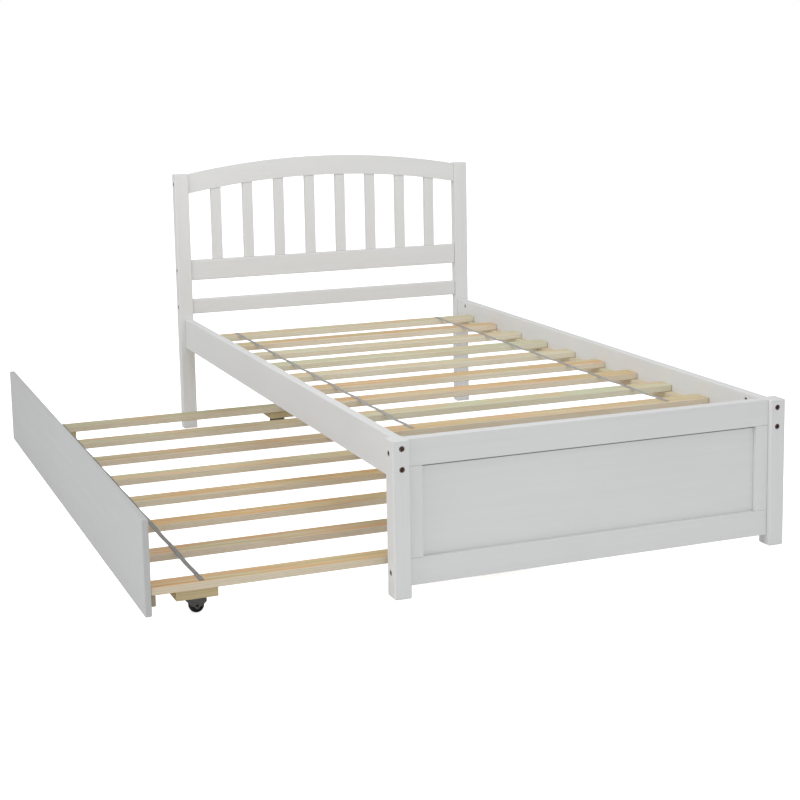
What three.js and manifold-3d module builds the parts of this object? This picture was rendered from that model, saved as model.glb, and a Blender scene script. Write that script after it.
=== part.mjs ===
// Twin platform bed with a roll-out trundle, shown with the trundle pulled out to the left.
// Millimetres, +Z up. The foot end faces -Y and the headboard stands at +Y.
// Every length below is measured on the bed itself: X = 0 and Y = 0 on the bed's centre lines,
// Z = 0 on the floor. The outer group then moves the whole to the middle of its own footprint.
import * as THREE from 'three';
import { mergeVertices } from 'three/addons/utils/BufferGeometryUtils.js';
import Module from 'manifold-3d';

const wasm = await Module();
wasm.setup();

// ---- driving dimensions -------------------------------------------------------------------
const BED_WIDTH = 1060;
const BED_LENGTH = 2020;
const GAP = 0.3;                // space left where two pieces meet
const EASE = 2;                 // eased edges on painted pieces
const SLAT_EASE = 1.5;
const PINE_EASE = 1;            // cleats, ledger, rear rail and blocks
const PANEL_EASE = 0.5;
const PLATE_EASE = 0.5;
const STRAP_EASE = 0.3;
const TOOL_OVERSHOOT = 1;       // how far a cutting tool starts outside the face it cuts
const MERGE_DISTANCE = 1e-4;    // vertices closer than this are one
const SIDES_OF = { tool: 20, axle: 16, wheel: 32 };                 // facets of round shapes

const FOOT_POST = { width: 42, depth: 47, height: 378 };
const HEAD_POST = { width: 47, depth: 35, height: 864 };

const RAIL = { thickness: 24, inset: 18, bottom: 276, top: 376 };   // side rails
const CLEAT = { width: 20, height: 25, endGap: 12 };

const SLAT = { width: 57, thickness: 18, endGap: 1 };
const BED_SLATS = { count: 9, top: 331, first: 289, pitch: 193.6 };
const TRUNDLE_SLATS = { count: 8, top: 90, first: 4, pitch: 245.5 };

const STRAP = { width: 12, thickness: 1.2, endGap: 8 };
const BED_STRAP_INSET = 167;    // strap centre line, from the bed's outer side
const TRUNDLE_STRAP_INSET = 134;

const FOOTBOARD = {
  front: 12, thickness: 30, topRail: 65, bottomRail: 65, bottom: 27, stile: 35, belowPost: 1,
};
const FOOT_PANEL = { thickness: 6, tongue: 7, setback: 12 };

const HEADBOARD = { thickness: 22, midTop: 573, midBottom: 505, lowTop: 440, lowBottom: 391 };
const ARCH = { lowerEnd: 798, upperEnd: 862, lowerRise: 44, upperRise: 45 };
const SPINDLE = { count: 8, width: 34, thickness: 16, pitch: 110.7 };

const TRUNDLE = { width: 990, length: 1922, pulledOut: 590 };
const FRONT_PANEL = { thickness: 16, bottom: 25, top: 250 };
const LEDGER = { width: 10, height: 25 };
const REAR_RAIL = { width: 22, height: 40 };

const BLOCK = { inset: 73, length: 98, depth: 98, height: 22.4, setback: 6 };
const CASTER = {
  inset: 132, setback: 62,                              // axle, from the panel and the slat's front
  plate: 47, plateDepth: 40, plateThickness: 3,
  wall: 2, shoulder: 1, taper: 8,                       // cheeks: straight down to taper above the axle
  foot: 28, toe: 8, drop: 8,                            // their width at the axle, and drop below it
  clearance: 1, axleEnd: 1,
};
const WHEEL = { radius: 18, width: 18, bore: 3.4, round: 2.5, bulge: 0.7 };
const AXLE_RADIUS = 3;

const BOLT_RECESS = { radius: 7, depth: 7 };
const NUT_HOLE = { radius: 6, depth: 12 };
const SIDE_BOLT_HEIGHTS = [309, 358];
const SIDE_BOLT_INSET = 23;     // bolt axis, from the bed's outer side
const NUT_SETBACK = 68;         // barrel nut, from the end of a side rail

// ---- materials ----------------------------------------------------------------------------
const finish = (color, roughness, metalness) =>
  new THREE.MeshStandardMaterial({ color, roughness, metalness });
const white = () => finish(0xeeeeec, 0.45, 0);
const pine = () => finish(0xd9bf92, 0.6, 0);
const webbing = () => finish(0x9a9a98, 0.85, 0);
const darkPlastic = () => finish(0x4a4c50, 0.5, 0.1);
const blackTyre = () => finish(0x18181a, 0.6, 0);

// ---- helpers ------------------------------------------------------------------------------
const HALF_WIDTH = BED_WIDTH / 2;
const HALF_LENGTH = BED_LENGTH / 2;
const SIDES = [['left', -1], ['right', 1]];

// A geometry as a solid that can be joined and cut.
function solid(geometry) {
  const bare = geometry.clone();
  bare.deleteAttribute('normal');
  bare.deleteAttribute('uv');
  const merged = mergeVertices(bare, MERGE_DISTANCE);
  return new wasm.Manifold(new wasm.Mesh({
    numProp: 3,
    vertProperties: new Float32Array(merged.attributes.position.array),
    triVerts: new Uint32Array(merged.index.array),
  }));
}

// A solid back as a geometry.
function surface(manifold) {
  const mesh = manifold.getMesh();
  const geometry = new THREE.BufferGeometry();
  geometry.setAttribute('position', new THREE.BufferAttribute(mesh.vertProperties, 3));
  geometry.setIndex(new THREE.BufferAttribute(mesh.triVerts, 1));
  geometry.computeVertexNormals();
  return geometry;
}

function named(name, geometry, material) {
  const mesh = new THREE.Mesh(geometry, material);
  mesh.name = name;
  return mesh;
}

// A box from corner to corner, with every edge chamfered by ease.
function easedBox([x0, x1], [y0, y1], [z0, z1], ease) {
  const a = (x1 - x0) / 2;
  const b = (y1 - y0) / 2;
  const outline = new THREE.Shape([
    [-a + ease, -b], [a - ease, -b], [a, -b + ease], [a, b - ease],
    [a - ease, b], [-a + ease, b], [-a, b - ease], [-a, -b + ease],
  ].map(([x, y]) => new THREE.Vector2(x, y)));
  const geometry = new THREE.ExtrudeGeometry(outline, {
    depth: z1 - z0 - 2 * ease,
    bevelThickness: ease,
    bevelSize: ease,
    bevelOffset: -ease,
    bevelSegments: 1,
  });
  return geometry.translate((x0 + x1) / 2, (y0 + y1) / 2, z0 + ease);
}

function board(name, xs, ys, zs, material = white(), ease = EASE) {
  return named(name, easedBox(xs, ys, zs, ease), material);
}

// A straight bar of the given section, from start to end along X or Z.
function bar(section, start, end, along) {
  const outline = new THREE.Shape(section.map(([u, v]) => new THREE.Vector2(u, v)));
  const geometry = new THREE.ExtrudeGeometry(outline, { depth: end - start, bevelEnabled: false });
  geometry.translate(0, 0, start);
  // along X, the section is drawn in (Y, Z); along Z, it is drawn in (X, Y)
  if (along === 'x') geometry.rotateX(Math.PI / 2).rotateZ(Math.PI / 2);
  return geometry;
}

// A round tool from one point, reaching length along an axis, for holes and pins.
function roundTool(radius, length, at, axis, sides = SIDES_OF.tool) {
  const geometry = new THREE.CylinderGeometry(radius, radius, length, sides);
  geometry.translate(0, length / 2, 0);
  const turn = new THREE.Quaternion().setFromUnitVectors(
    new THREE.Vector3(0, 1, 0), new THREE.Vector3(...axis));
  return geometry.applyQuaternion(turn).translate(...at);
}

function drilled(geometry, tools) {
  return surface(tools.reduce((body, tool) => body.subtract(solid(tool)), solid(geometry)));
}

// The blind recess that a bolt head sits in, on a face whose outward normal is given.
function boltRecess(at, normal) {
  const start = at.map((value, i) => value + TOOL_OVERSHOOT * normal[i]);
  const inwards = normal.map((value) => -value);
  return roundTool(BOLT_RECESS.radius, BOLT_RECESS.depth + TOOL_OVERSHOOT, start, inwards);
}

// [low, high] of a piece on one side of the bed, given its distances from the outer side.
function fromSide(side, near, far) {
  return side < 0 ? [-HALF_WIDTH + near, -HALF_WIDTH + far] : [HALF_WIDTH - far, HALF_WIDTH - near];
}

// ---- headboard ----------------------------------------------------------------------------
const headMiddle = HALF_LENGTH - HEAD_POST.depth / 2;
const headInner = HALF_WIDTH - HEAD_POST.width - GAP;
const headboardDepth = [headMiddle - HEADBOARD.thickness / 2, headMiddle + HEADBOARD.thickness / 2];

function headPost(name, side) {
  const body = easedBox(fromSide(side, 0, HEAD_POST.width),
    [HALF_LENGTH - HEAD_POST.depth, HALF_LENGTH], [0, HEAD_POST.height], EASE);
  const railHeights = [
    (HEADBOARD.lowTop + HEADBOARD.lowBottom) / 2,
    (HEADBOARD.midTop + HEADBOARD.midBottom) / 2,
    (ARCH.lowerEnd + ARCH.upperEnd) / 2,
  ];
  const recesses = railHeights.map((z) =>
    boltRecess([side * HALF_WIDTH, headMiddle, z], [side, 0, 0]));
  SIDE_BOLT_HEIGHTS.forEach((z) => recesses.push(
    boltRecess([side * (HALF_WIDTH - SIDE_BOLT_INSET), HALF_LENGTH, z], [0, 1, 0])));
  return named(name, drilled(body, recesses), white());
}

// Height of a circular arc that rises by rise between its ends at x = -half and x = half.
function arcHeight(x, half, endHeight, rise) {
  const radius = (half * half + rise * rise) / (2 * rise);
  return endHeight + rise - radius + Math.sqrt(radius * radius - x * x);
}

const archLower = (x) => arcHeight(x, headInner, ARCH.lowerEnd, ARCH.lowerRise);
const archUpper = (x) => arcHeight(x, headInner, ARCH.upperEnd, ARCH.upperRise);

// A flat shape drawn in (X, Z), made thickness deep and centred on the headboard's middle plane.
function uprightShape(points, thickness) {
  const outline = new THREE.Shape(points.map(([x, z]) => new THREE.Vector2(x, z)));
  const geometry = new THREE.ExtrudeGeometry(outline, { depth: thickness, bevelEnabled: false });
  return geometry.rotateX(Math.PI / 2).translate(0, headMiddle + thickness / 2, 0);
}

function archRail() {
  const steps = 32;
  const stations = Array.from({ length: steps + 1 }, (_, i) => headInner * (2 * i / steps - 1));
  const lower = stations.map((x) => [x, archLower(x)]);
  const upper = stations.map((x) => [x, archUpper(x)]).reverse();
  return named('arched_top_rail', uprightShape([...lower, ...upper], HEADBOARD.thickness), white());
}

function spindle(index) {
  const middle = (index - (SPINDLE.count - 1) / 2) * SPINDLE.pitch;
  const left = middle - SPINDLE.width / 2;
  const right = middle + SPINDLE.width / 2;
  const bottom = HEADBOARD.midTop + GAP;
  const points = [[left, bottom], [right, bottom],
    [right, archLower(right) - GAP], [left, archLower(left) - GAP]];
  return named(`spindle_${index + 1}`, uprightShape(points, SPINDLE.thickness), white());
}

function headboard() {
  const group = new THREE.Group();
  SIDES.forEach(([label, side]) => group.add(headPost(`head_post_${label}`, side)));
  const span = [-headInner, headInner];
  group.add(
    board('head_middle_rail', span, headboardDepth, [HEADBOARD.midBottom, HEADBOARD.midTop]),
    board('head_lower_rail', span, headboardDepth, [HEADBOARD.lowBottom, HEADBOARD.lowTop]),
    archRail());
  for (let i = 0; i < SPINDLE.count; i += 1) group.add(spindle(i));
  return group;
}

// ---- footboard ----------------------------------------------------------------------------
const footFront = -HALF_LENGTH + FOOTBOARD.front;
const footBack = footFront + FOOTBOARD.thickness;
const footInner = HALF_WIDTH - FOOT_POST.width - GAP;
const footTop = FOOT_POST.height - FOOTBOARD.belowPost;
const topRailBottom = footTop - FOOTBOARD.topRail;
const bottomRailTop = FOOTBOARD.bottom + FOOTBOARD.bottomRail;
const panelFront = footFront + FOOT_PANEL.setback;
const groove = {
  front: panelFront - GAP,
  back: panelFront + FOOT_PANEL.thickness + GAP,
  depth: FOOT_PANEL.tongue + GAP,
};

function footPost(name, side) {
  const body = easedBox(fromSide(side, 0, FOOT_POST.width),
    [-HALF_LENGTH, -HALF_LENGTH + FOOT_POST.depth], [0, FOOT_POST.height], EASE);
  const boardMiddle = (footFront + footBack) / 2;
  const recesses = SIDE_BOLT_HEIGHTS.map((z) =>
    boltRecess([side * (HALF_WIDTH - SIDE_BOLT_INSET), -HALF_LENGTH, z], [0, -1, 0]));
  [(bottomRailTop + FOOTBOARD.bottom) / 2, (topRailBottom + footTop) / 2].forEach((z) =>
    recesses.push(boltRecess([side * HALF_WIDTH, boardMiddle, z], [side, 0, 0])));
  return named(name, drilled(body, recesses), white());
}

// A rail whose inner edge, at grooveEdge, holds the panel in a groove; outer is its other edge.
function groovedSection(outer, grooveEdge) {
  const inwards = Math.sign(outer - grooveEdge);
  const floor = grooveEdge + inwards * groove.depth;
  return [[footFront, outer], [footBack, outer], [footBack, grooveEdge], [groove.back, grooveEdge],
    [groove.back, floor], [groove.front, floor], [groove.front, grooveEdge],
    [footFront, grooveEdge]];
}

function footStile(name, side) {
  const outer = side * footInner;
  const inner = side * (footInner - FOOTBOARD.stile);
  const section = groovedSection(outer, inner).map(([y, x]) => [x, y]);
  return named(name, bar(section, bottomRailTop + GAP, topRailBottom - GAP, 'z'), white());
}

function footboard() {
  const group = new THREE.Group();
  SIDES.forEach(([label, side]) => {
    group.add(footPost(`foot_post_${label}`, side), footStile(`foot_stile_${label}`, side));
  });
  const top = bar(groovedSection(footTop, topRailBottom), -footInner, footInner, 'x');
  const bottom = bar(groovedSection(FOOTBOARD.bottom, bottomRailTop), -footInner, footInner, 'x');
  const panelHalf = footInner - FOOTBOARD.stile + FOOT_PANEL.tongue;
  group.add(
    named('foot_top_rail', top, white()),
    named('foot_bottom_rail', bottom, white()),
    board('foot_panel', [-panelHalf, panelHalf],
      [panelFront, panelFront + FOOT_PANEL.thickness],
      [bottomRailTop - FOOT_PANEL.tongue, topRailBottom + FOOT_PANEL.tongue], white(), PANEL_EASE));
  return group;
}

// ---- side rails, slats and straps of the bed ------------------------------------------------
const railStart = -HALF_LENGTH + FOOT_POST.depth + GAP;
const railEnd = HALF_LENGTH - HEAD_POST.depth - GAP;
const railInnerInset = RAIL.inset + RAIL.thickness;
const slatBottom = BED_SLATS.top - SLAT.thickness;

function sideRail(name, side) {
  const body = easedBox(fromSide(side, RAIL.inset, railInnerInset),
    [railStart, railEnd], [RAIL.bottom, RAIL.top], EASE);
  const innerFace = side * (HALF_WIDTH - railInnerInset);
  const holeStart = innerFace - side * TOOL_OVERSHOOT;
  const holes = SIDE_BOLT_HEIGHTS.flatMap((z) => [railStart + NUT_SETBACK, railEnd - NUT_SETBACK]
    .map((y) => roundTool(NUT_HOLE.radius, NUT_HOLE.depth + TOOL_OVERSHOOT, [holeStart, y, z],
      [side, 0, 0])));
  return named(name, drilled(body, holes), white());
}

function cleat(name, side) {
  const xs = fromSide(side, railInnerInset + GAP, railInnerInset + GAP + CLEAT.width);
  const top = slatBottom - GAP;
  return board(name, xs, [railStart + CLEAT.endGap, railEnd - CLEAT.endGap],
    [top - CLEAT.height, top], pine(), PINE_EASE);
}

// Slats lie across X; each starts pitch further from the foot end than the one before.
function slats(prefix, layout, xs, origin) {
  const group = new THREE.Group();
  for (let i = 0; i < layout.count; i += 1) {
    const front = origin + layout.first + i * layout.pitch;
    group.add(board(`${prefix}_${i + 1}`, xs, [front, front + SLAT.width],
      [layout.top - SLAT.thickness, layout.top], pine(), SLAT_EASE));
  }
  return group;
}

// A webbing strap lies on the slats, from near the front edge of the first to the back of the last.
function strap(name, x, layout, origin) {
  const start = origin + layout.first;
  const end = start + (layout.count - 1) * layout.pitch + SLAT.width;
  const bottom = layout.top + GAP;
  return board(name, [x - STRAP.width / 2, x + STRAP.width / 2],
    [start + STRAP.endGap, end - STRAP.endGap], [bottom, bottom + STRAP.thickness],
    webbing(), STRAP_EASE);
}

function platform() {
  const group = new THREE.Group();
  SIDES.forEach(([label, side]) => {
    group.add(
      sideRail(`side_rail_${label}`, side),
      cleat(`slat_cleat_${label}`, side),
      strap(`bed_strap_${label}`, side * (HALF_WIDTH - BED_STRAP_INSET), BED_SLATS, -HALF_LENGTH));
  });
  const reach = HALF_WIDTH - railInnerInset - SLAT.endGap;
  group.add(slats('bed_slat', BED_SLATS, [-reach, reach], -HALF_LENGTH));
  return group;
}

// ---- trundle --------------------------------------------------------------------------------
// Drawn with its front panel's outer face at X = 0, its foot end at Y = 0, and the floor at Z = 0.
const trundleSlatBottom = TRUNDLE_SLATS.top - SLAT.thickness;
const blockTop = trundleSlatBottom - GAP;
const blockBottom = blockTop - BLOCK.height;
const casterTop = blockBottom - GAP;

// The plate, two cheeks and axle of a fixed caster, with its axle along Y through the origin.
function casterHousing() {
  const top = casterTop - WHEEL.radius;
  const half = CASTER.plate / 2;
  const foot = CASTER.foot / 2;
  const toe = CASTER.toe / 2;
  const inner = WHEEL.width / 2 + CASTER.clearance;
  const plate = easedBox([-half, half], [-CASTER.plateDepth / 2, CASTER.plateDepth / 2],
    [top - CASTER.plateThickness, top], PLATE_EASE);
  const shoulder = half - CASTER.shoulder;
  const cheekTop = top - CASTER.shoulder;
  const cheek = new THREE.Shape([
    [-shoulder, cheekTop], [-shoulder, CASTER.taper], [-foot, 0], [-toe, -CASTER.drop],
    [toe, -CASTER.drop], [foot, 0], [shoulder, CASTER.taper], [shoulder, cheekTop],
  ].map(([x, z]) => new THREE.Vector2(x, z)));
  const pieces = [-inner, inner + CASTER.wall].map((y) =>
    new THREE.ExtrudeGeometry(cheek, { depth: CASTER.wall, bevelEnabled: false })
      .rotateX(Math.PI / 2).translate(0, y, 0));
  const reach = inner + CASTER.wall + CASTER.axleEnd;
  pieces.push(roundTool(AXLE_RADIUS, 2 * reach, [0, -reach, 0], [0, 1, 0], SIDES_OF.axle));
  return surface(pieces.reduce((body, piece) => body.add(solid(piece)), solid(plate)));
}

// A wheel on its axle line, along Y through the origin.
function wheelGeometry() {
  const half = WHEEL.width / 2;
  const { radius, bore, round, bulge } = WHEEL;
  const profile = [[bore, -half], [radius - round, -half], [radius - bulge, -half + bulge],
    [radius, -half + round], [radius, half - round], [radius - bulge, half - bulge],
    [radius - round, half], [bore, half], [bore, -half]];
  return new THREE.LatheGeometry(profile.map(([r, y]) => new THREE.Vector2(r, y)), SIDES_OF.wheel);
}

function corner(label, blockX, casterX, y) {
  const group = new THREE.Group();
  const housing = named(`caster_housing_${label}`, casterHousing(), darkPlastic());
  const wheel = named(`caster_wheel_${label}`, wheelGeometry(), blackTyre());
  [housing, wheel].forEach((mesh) => {
    mesh.position.set(casterX, y + CASTER.setback, WHEEL.radius);
  });
  const front = y + BLOCK.setback;
  group.add(housing, wheel, board(`caster_block_${label}`, [blockX, blockX + BLOCK.length],
    [front, front + BLOCK.depth], [blockBottom, blockTop], pine(), PINE_EASE));
  return group;
}

function trundle() {
  const group = new THREE.Group();
  const firstY = TRUNDLE_SLATS.first;
  const lastY = firstY + (TRUNDLE_SLATS.count - 1) * TRUNDLE_SLATS.pitch;
  const behindPanel = FRONT_PANEL.thickness + GAP;
  const runs = [firstY, lastY + SLAT.width];
  group.add(
    board('trundle_front_panel', [0, FRONT_PANEL.thickness], [0, TRUNDLE.length],
      [FRONT_PANEL.bottom, FRONT_PANEL.top]),
    board('trundle_ledger', [behindPanel, behindPanel + LEDGER.width], runs,
      [blockTop - LEDGER.height, blockTop], pine(), PINE_EASE),
    board('trundle_rear_rail', [TRUNDLE.width - REAR_RAIL.width, TRUNDLE.width], runs,
      [blockTop - REAR_RAIL.height, blockTop], pine(), PINE_EASE),
    slats('trundle_slat', TRUNDLE_SLATS, [behindPanel, TRUNDLE.width], 0),
    strap('trundle_strap_left', TRUNDLE_STRAP_INSET, TRUNDLE_SLATS, 0),
    strap('trundle_strap_right', TRUNDLE.width - TRUNDLE_STRAP_INSET, TRUNDLE_SLATS, 0));
  [['foot', firstY], ['head', lastY]].forEach(([end, y]) => {
    group.add(
      corner(`${end}_left`, BLOCK.inset, CASTER.inset, y),
      corner(`${end}_right`, TRUNDLE.width - BLOCK.inset - BLOCK.length,
        TRUNDLE.width - CASTER.inset, y));
  });
  return group;
}

// ---- the whole bed --------------------------------------------------------------------------
const stowedX = -HALF_WIDTH + RAIL.inset;
const bay = [-HALF_LENGTH + FOOT_POST.depth, HALF_LENGTH - HEAD_POST.depth];
const rollOut = trundle();
rollOut.position.set(stowedX - TRUNDLE.pulledOut, (bay[0] + bay[1] - TRUNDLE.length) / 2, 0);

const bed = new THREE.Group();
bed.add(headboard(), footboard(), platform(), rollOut);

// The footprint runs from the pulled-out panel to the bed's right side.
bed.position.x = -(rollOut.position.x + HALF_WIDTH) / 2;

export default bed;
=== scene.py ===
"""Twin platform bed with a slatted trundle rolled out to its left: looks, webbing, casters, fasteners.

Metres, +Z up. The foot end faces -Y, and the trundle rolls out towards -X.
"""
import math
import random

import bmesh
import bpy
from mathutils import Matrix, Vector


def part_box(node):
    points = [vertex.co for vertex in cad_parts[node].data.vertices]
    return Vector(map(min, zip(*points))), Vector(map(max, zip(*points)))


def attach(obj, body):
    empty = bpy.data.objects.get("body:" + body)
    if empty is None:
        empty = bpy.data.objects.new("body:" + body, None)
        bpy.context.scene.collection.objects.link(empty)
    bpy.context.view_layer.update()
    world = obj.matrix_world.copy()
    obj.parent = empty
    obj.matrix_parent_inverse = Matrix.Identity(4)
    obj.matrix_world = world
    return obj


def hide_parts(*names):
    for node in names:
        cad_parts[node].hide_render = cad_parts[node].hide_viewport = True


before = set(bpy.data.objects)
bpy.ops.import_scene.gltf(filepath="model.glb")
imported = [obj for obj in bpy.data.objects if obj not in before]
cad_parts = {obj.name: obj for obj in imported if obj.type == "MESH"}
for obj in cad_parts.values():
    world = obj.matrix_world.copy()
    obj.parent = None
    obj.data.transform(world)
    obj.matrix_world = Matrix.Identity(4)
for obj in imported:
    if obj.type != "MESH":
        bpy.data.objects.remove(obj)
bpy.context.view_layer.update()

# ---- camera and light -----------------------------------------------------------------------
CAMERA_PLACE = (-1.561, -4.464, 1.252)
CAMERA_AZIMUTH = -22.06         # degrees; 0 looks along +Y
CAMERA_PITCH = 9.14             # degrees below the horizon
CAMERA_ROLL = -0.92
CAMERA_LENS = 74.83             # mm, on a sensor 36 mm wide
CAMERA_SHIFT = (-0.03, -0.10)

FLOOR_SIZE = 60.0
FLOOR_BELOW = 0.0005            # under the wheels and posts, so the faces don't coincide
FLOOR_WHITES = ((0.89, 0.89, 0.89), (0.91, 0.91, 0.91))
WORLD_STRENGTH = 0.60           # what lights the bed; the backdrop itself is plain white
FLOOR_GLOW = 0.80               # evens out the floor like a light table
# name, place, what it points at, width, length, watts
LIGHTS = (
    ("left", (-5.0, -1.5, 2.2), (-0.2, 0.0, 0.3), 2.5, 2.0, 64),
    ("top", (0.1, 0.0, 4.2), (0.1, 0.1, 0.0), 4.2, 4.2, 10),
    ("headboard", (-0.2, -0.9, 2.5), (0.28, 1.0, 0.75), 1.6, 1.0, 15),
    ("front_fill", (1.2, -6.0, 2.2), (0.2, 0.0, 0.3), 4.0, 2.6, 24),
)

# ---- sizes of what is made here ---------------------------------------------------------------
CORNER_ROUND = 0.0009           # rounding of the edges on painted pieces
PINE_ROUND = 0.0007
MOULDED_ROUND = 0.0003
FLAT_LIMIT = math.radians(0.3)  # faces closer than this are one face
EDGE_LIMIT = math.radians(25)   # edges sharper than this are rounded
WELD = 1e-5
DRILLED = ("head_post", "foot_post", "side_rail")  # merging a face with several holes would tear it

# sag is how far a strap hangs between two slats; edge and crown are shares of its thickness;
# off is how far a staple is from its slat's middle
STRAP = {"sag": 0.0022, "ridge": 0.00012, "ridges": 5, "step": 0.012, "edge": 0.30, "crown": 0.62}
STRAP_SQUARENESS = 8            # a higher power gives the section a flatter top
STAPLE = {"crown": 0.0088, "wire": 0.00045, "leg": 0.002, "off": 0.013, "sides": 8}

# socket is half of the hexagon's width across its corners; below is under the face of the post
BOLT = {"radius": 0.0067, "depth": 0.0055, "below": 0.0010, "rim": 0.0011, "chamfer": 0.0004,
        "socket": 0.0029, "lip": 0.0003, "sides": 24}
BOLT_INSET = 0.023              # from the bed's outer side
BOLT_HEIGHTS = (0.309, 0.358)
FOOT_RAIL_BOLTS = (0.0595, 0.3445)
HEAD_RAIL_BOLTS = (0.4155, 0.539, 0.830)
FOOT_BOARD_MIDDLE = 0.027       # from the foot posts' front faces

# setback is from the ends of the side rail; ridge_off is from the slot's middle line
NUT = {"setback": 0.068, "radius": 0.0056, "below": 0.0012, "depth": 0.009, "rim": 0.0006,
       "chamfer": 0.0001, "ridge_off": 0.0011, "ridge_width": 0.0006, "ridge_height": 0.0002}

# the web is sunk between the radii hub and rim; a rib's foot and top are shares of half_width
WHEEL = {"radius": 0.018, "half_width": 0.0085, "hub": 0.0070, "rim": 0.0125, "sides": 64}
RIB = {"count": 6, "inner": 0.0068, "outer": 0.0128, "half": 0.0006, "foot": 0.40, "top": 0.78}
WASHER = {"radius": 0.0052, "thickness": 0.0006, "chamfer": 0.0006, "rise": 0.0004, "place": 0.96}
AXLE_RADIUS = 0.0030
BORE_PLAY = 0.0006
RIVET = {"flat": 0.0028, "radius": 0.0042, "chamfer": 0.0003, "height": 0.0012, "neck": 0.0013}
# play is between the wheel and a cheek; cheek and boss are how far beyond it each layer reaches;
# boss_share is the boss's size against the cheek, shrunk about boss_height of the way up to the plate
HOUSING = {"plate": 0.0028, "ease": 0.0006, "corner": 0.005, "play": 0.0008, "cheek": 0.0018,
           "boss": 0.0026, "boss_share": 0.78, "boss_height": 0.35, "screw_inset": 0.0055}
# taper is how far above the axle a cheek is at its widest, and drop how far it hangs below the axle
CHEEK = {"margin": 0.001, "taper": 0.008, "half": 0.014, "toe": 0.005, "drop": 0.009, "steps": 6}

SCREW = {"radius": 0.0037, "depth": 0.0012, "sides": 16}
# notch is how far out a cross recess reaches between its arms, as a share of an arm
COUNTERSUNK = {"shank": 0.002, "under": 0.0002, "proud": 0.0001, "cross": 0.0009, "notch": 0.36}
SLAT_SCREW_SHARES = (0.27, 0.73)  # across a slat's width
BLOCK_SCREW = {"end": 0.010, "front": 0.024}
CLEAT_SCREWS = 7

CORNERS = ("foot_left", "foot_right", "head_left", "head_right")


# ---- node graphs --------------------------------------------------------------------------------
def add(tree, kind, inputs=None, **settings):
    """A new node, its settings set, and its inputs linked to sockets or given values."""
    made = tree.nodes.new("ShaderNode" + kind)
    for name, value in settings.items():
        setattr(made, name, value)
    for name, value in (inputs or {}).items():
        socket = made.inputs[name]
        if isinstance(value, bpy.types.NodeSocket):
            tree.links.new(value, socket)
        else:
            socket.default_value = value
    return made


def new_material(name, **values):
    """A material with one Principled shader, whose fixed values are set on it."""
    material = bpy.data.materials.new(name)
    material.use_nodes = True
    tree = material.node_tree
    shader = tree.nodes["Principled BSDF"]
    for socket, value in values.items():
        shader.inputs[socket.replace("_", " ")].default_value = value
    return material, tree, shader


def object_place(tree):
    """Where a point is on its own object, which for a CAD node is its place in the frame."""
    return add(tree, "TexCoord").outputs["Object"]


def scaled(tree, vector, scale, shift=(0, 0, 0)):
    """A vector stretched along the axes, and moved."""
    mapping = add(tree, "Mapping", {"Vector": vector})
    mapping.inputs["Location"].default_value = shift
    mapping.inputs["Scale"].default_value = scale
    return mapping.outputs["Vector"]


def noise(tree, vector, scale=1.0, detail=3.0, roughness=0.5):
    """Cloudy grey noise, from 0 to 1."""
    made = add(tree, "TexNoise", {
        "Vector": vector, "Scale": scale, "Detail": detail, "Roughness": roughness})
    return made.outputs["Fac"]


def spread(tree, value, low, high, out_low=0.0, out_high=1.0):
    """Maps low..high to out_low..out_high, and holds the ends."""
    made = add(tree, "MapRange", {
        "Value": value, "From Min": low, "From Max": high, "To Min": out_low, "To Max": out_high})
    return made.outputs["Result"]


def maths(tree, operation, a, b=0.0):
    """A sum on one or two values, each a socket or a number."""
    made = add(tree, "Math", operation=operation)
    for index, value in enumerate((a, b)):
        if isinstance(value, bpy.types.NodeSocket):
            tree.links.new(value, made.inputs[index])
        else:
            made.inputs[index].default_value = value
    return made.outputs[0]


def mixed(tree, factor, first, second, blend="MIX"):
    """A colour between two colours, each a socket or three numbers."""
    made = add(tree, "Mix", data_type="RGBA", blend_type=blend)
    for socket, value in ((made.inputs[0], factor), (made.inputs[6], first), (made.inputs[7], second)):
        if isinstance(value, bpy.types.NodeSocket):
            tree.links.new(value, socket)
        elif isinstance(value, float):
            socket.default_value = value
        else:
            socket.default_value = (*value, 1.0)
    return made.outputs[2]


def ramp(tree, value, stops):
    """A colour from a value, by stops of (place, colour)."""
    made = add(tree, "ValToRGB", {"Fac": value})
    elements = made.color_ramp.elements
    while len(elements) > 1:
        elements.remove(elements[-1])
    for index, (place, colour) in enumerate(stops):
        element = elements[0] if index == 0 else elements.new(place)
        element.position = place
        element.color = (*colour, 1.0)
    return made.outputs["Color"]


def bumps(tree, shader, *layers):
    """Stacks bump layers of (height, distance, strength) and gives the result to the shader."""
    normal = None
    for height, distance, strength in layers:
        inputs = {"Height": height, "Distance": distance, "Strength": strength}
        if normal is not None:
            inputs["Normal"] = normal
        normal = add(tree, "Bump", inputs).outputs["Normal"]
    tree.links.new(normal, shader.inputs["Normal"])


# ---- materials ------------------------------------------------------------------------------------
PAINT = (0.792, 0.798, 0.800)
PAINT_SHADE = (0.760, 0.766, 0.768)
PAINT_SPECK = (0.70, 0.69, 0.67)
PANEL_GREY_AND_SHADE = 0.68               # the trundle's panel is a greyer white: partly its own paint, partly painted shade
PAINTED_SHADOW_COLOUR = (0.10, 0.10, 0.10)  # painted shadow under the foot panel's top rail, put into the panel's colour
PAINTED_SHADOW_DEPTH = 0.85               # how much of that painted shadow shows
PAINTED_SHADOW_HEIGHT = 0.0058            # from the rail down to where the painted shadow ends
PAINTED_SHADOW_FADE = 0.0006              # its soft lower edge
AXES = {"x": 0, "y": 1, "z": 2}

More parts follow.
